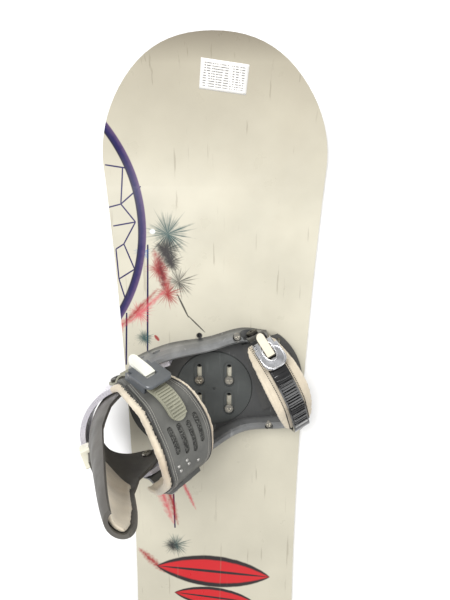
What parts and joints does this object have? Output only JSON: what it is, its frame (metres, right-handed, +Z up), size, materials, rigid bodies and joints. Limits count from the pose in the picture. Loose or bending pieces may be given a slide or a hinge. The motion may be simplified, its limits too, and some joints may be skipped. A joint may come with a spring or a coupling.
{
  "type": "snowboard with bindings",
  "caption": "Twin-tip snowboard with a pair of two-strap bindings: baseplates, discs, heel hoops, folding highbacks and ratchet buckles.",
  "frame": {"origin": "middle of the flat running base, on its sliding face", "axes": "+X to the toe edge, +Y along the board to the tip, +Z up through the bindings"},
  "size_m": [0.2989, 1.39, 0.2592],
  "materials": {
    "base_plastic": "sintered base",
    "edge_steel": "ground steel",
    "sidewall_plastic": "satin",
    "core_wood": "bare wood",
    "topsheet_print": "printed, lacquered, lightly scuffed",
    "insert_steel": "plain",
    "screw_steel": "zinc plated",
    "bolt_black": "black oxide",
    "baseplate_grey": "moulded, fine grain",
    "plate_dark": "moulded",
    "disc_dark": "moulded",
    "hoop_silver": "satin anodised",
    "highback_dark": "moulded",
    "liner_cream": "soft lining",
    "adjuster_white": "moulded",
    "pad_charcoal": "padded synthetic leather",
    "shell_charcoal": "moulded",
    "ladder_khaki": "moulded",
    "buckle_grey": "satin",
    "pin_steel": "plain",
    "release_white": "moulded",
    "release_beige": "moulded",
    "pad_cream": "soft padding",
    "ladder_black": "moulded",
    "lever_silver": "polished"
  },
  "bodies": {
    "board": {"base_sheet": "base_plastic", "steel_edge": "edge_steel", "sidewall": "sidewall_plastic", "wood_core": "core_wood", "topsheet": "topsheet_print", "front_inserts": "insert_steel", "rear_inserts": "insert_steel", "disc_screws": "screw_steel", "hoop_screws": "screw_steel", "rail_screws": "screw_steel", "highback_pivots": "screw_steel", "ankle_bolts": "bolt_black", "toe_bolts": "bolt_black", "front_baseplate": "baseplate_grey", "front_toe_ramp": "plate_dark", "front_heel_plate": "plate_dark", "front_disc": "disc_dark", "front_hoop": "hoop_silver", "rear_baseplate": "baseplate_grey", "rear_toe_ramp": "plate_dark", "rear_heel_plate": "plate_dark", "rear_disc": "disc_dark", "rear_hoop": "hoop_silver"},
    "front_highback": {"front_highback": "highback_dark", "front_highback_liner": "liner_cream"},
    "front_lean_adjuster": {"front_lean_adjuster": "adjuster_white"},
    "front_ankle_strap": {"front_ankle_pad": "pad_charcoal", "front_ankle_shell": "shell_charcoal", "front_ankle_ladder": "ladder_khaki", "front_ankle_connector": "shell_charcoal", "front_ankle_buckle_frame": "buckle_grey", "front_ankle_buckle_pins": "pin_steel"},
    "front_ankle_lever": {"front_ankle_buckle_lever": "buckle_grey"},
    "front_ankle_release": {"front_ankle_release": "release_white"},
    "front_toe_strap": {"front_toe_pad": "pad_cream", "front_toe_ladder": "ladder_black", "front_toe_connector": "ladder_black", "front_toe_buckle_frame": "buckle_grey", "front_toe_buckle_pins": "pin_steel"},
    "front_toe_lever": {"front_toe_buckle_lever": "lever_silver"},
    "front_toe_release": {"front_toe_release": "release_beige"},
    "rear_highback": {"rear_highback": "highback_dark", "rear_highback_liner": "liner_cream"},
    "rear_lean_adjuster": {"rear_lean_adjuster": "adjuster_white"},
    "rear_ankle_strap": {"rear_ankle_pad": "pad_charcoal", "rear_ankle_shell": "shell_charcoal", "rear_ankle_ladder": "ladder_khaki", "rear_ankle_connector": "shell_charcoal", "rear_ankle_buckle_frame": "buckle_grey", "rear_ankle_buckle_pins": "pin_steel"},
    "rear_ankle_lever": {"rear_ankle_buckle_lever": "buckle_grey"},
    "rear_ankle_release": {"rear_ankle_release": "release_white"},
    "rear_toe_strap": {"rear_toe_pad": "pad_cream", "rear_toe_ladder": "ladder_black", "rear_toe_connector": "ladder_black", "rear_toe_buckle_frame": "buckle_grey", "rear_toe_buckle_pins": "pin_steel"},
    "rear_toe_lever": {"rear_toe_buckle_lever": "lever_silver"},
    "rear_toe_release": {"rear_toe_release": "release_beige"}
  },
  "joints": [
    {"name": "front_highback_fold", "type": "hinge", "parent": "board", "child": "front_highback", "pos_m": [-0.10081, 0.23824, 0.0472], "axis": [-0.309, 0.9511, 0], "range_deg": [0, 15]},
    {"name": "front_lean_slide", "type": "slide", "parent": "front_highback", "child": "front_lean_adjuster", "axis": [0.3339, 0.1085, 0.9363], "range_m": [0, 0.014]},
    {"name": "front_ankle_strap_swing", "type": "hinge", "parent": "board", "child": "front_ankle_strap", "pos_m": [-0.09511, 0.2401, 0.0682], "axis": [-0.309, 0.9511, 0], "range_deg": [0, 18]},
    {"name": "front_ankle_lever_lift", "type": "hinge", "parent": "front_ankle_strap", "child": "front_ankle_lever", "pos_m": [-0.07994, 0.32764, 0.10476], "axis": [-0.6289, -0.2044, 0.7501], "range_deg": [0, 75]},
    {"name": "front_ankle_release_lift", "type": "hinge", "parent": "front_ankle_strap", "child": "front_ankle_release", "pos_m": [-0.06762, 0.32287, 0.11379], "axis": [0.6289, 0.2044, -0.7501], "range_deg": [0, 18], "stiffness_Nm_per_rad": 0.05, "springref_deg": -17.19},
    {"name": "front_toe_strap_swing", "type": "hinge", "parent": "board", "child": "front_toe_strap", "pos_m": [0.08046, 0.28873, 0.0282], "axis": [-0.4493, 0.8934, 0], "range_deg": [-18, 7]},
    {"name": "front_toe_lever_lift", "type": "hinge", "parent": "front_toe_strap", "child": "front_toe_lever", "pos_m": [0.0615, 0.3456, 0.05822], "axis": [-0.8588, -0.4319, 0.2756], "range_deg": [0, 75]},
    {"name": "front_toe_release_lift", "type": "hinge", "parent": "front_toe_strap", "child": "front_toe_release", "pos_m": [0.06966, 0.33486, 0.06683], "axis": [0.8588, 0.4319, -0.2756], "range_deg": [0, 18], "stiffness_Nm_per_rad": 0.05, "springref_deg": -17.19},
    {"name": "rear_highback_fold", "type": "hinge", "parent": "board", "child": "rear_highback", "pos_m": [-0.10542, -0.25992, 0.0472], "axis": [0.1045, 0.9945, 0], "range_deg": [0, 15]},
    {"name": "rear_lean_slide", "type": "slide", "parent": "rear_highback", "child": "rear_lean_adjuster", "axis": [0.3492, -0.0367, 0.9363], "range_m": [0, 0.014]},
    {"name": "rear_ankle_strap_swing", "type": "hinge", "parent": "board", "child": "rear_ankle_strap", "pos_m": [-0.09945, -0.26055, 0.0682], "axis": [0.1045, 0.9945, 0], "range_deg": [0, 18]},
    {"name": "rear_ankle_lever_lift", "type": "hinge", "parent": "rear_ankle_strap", "child": "rear_ankle_lever", "pos_m": [-0.06642, -0.34302, 0.10476], "axis": [0.6577, -0.0691, -0.7501], "range_deg": [0, 75]},
    {"name": "rear_ankle_release_lift", "type": "hinge", "parent": "rear_ankle_strap", "child": "rear_ankle_release", "pos_m": [-0.05536, -0.3358, 0.11379], "axis": [-0.6577, 0.0691, 0.7501], "range_deg": [0, 18], "stiffness_Nm_per_rad": 0.05, "springref_deg": -17.19},
    {"name": "rear_toe_strap_swing", "type": "hinge", "parent": "board", "child": "rear_toe_strap", "pos_m": [0.08239, -0.27161, 0.0282], "axis": [0.2538, 0.9673, 0], "range_deg": [-18, 7]},
    {"name": "rear_toe_lever_lift", "type": "hinge", "parent": "rear_toe_strap", "child": "rear_toe_lever", "pos_m": [0.07566, -0.33118, 0.05822], "axis": [0.9298, -0.2439, -0.2756], "range_deg": [0, 75]},
    {"name": "rear_toe_release_lift", "type": "hinge", "parent": "rear_toe_strap", "child": "rear_toe_release", "pos_m": [0.08141, -0.31898, 0.06683], "axis": [-0.9298, 0.2439, 0.2756], "range_deg": [0, 18], "stiffness_Nm_per_rad": 0.05, "springref_deg": -17.19}
  ]
}
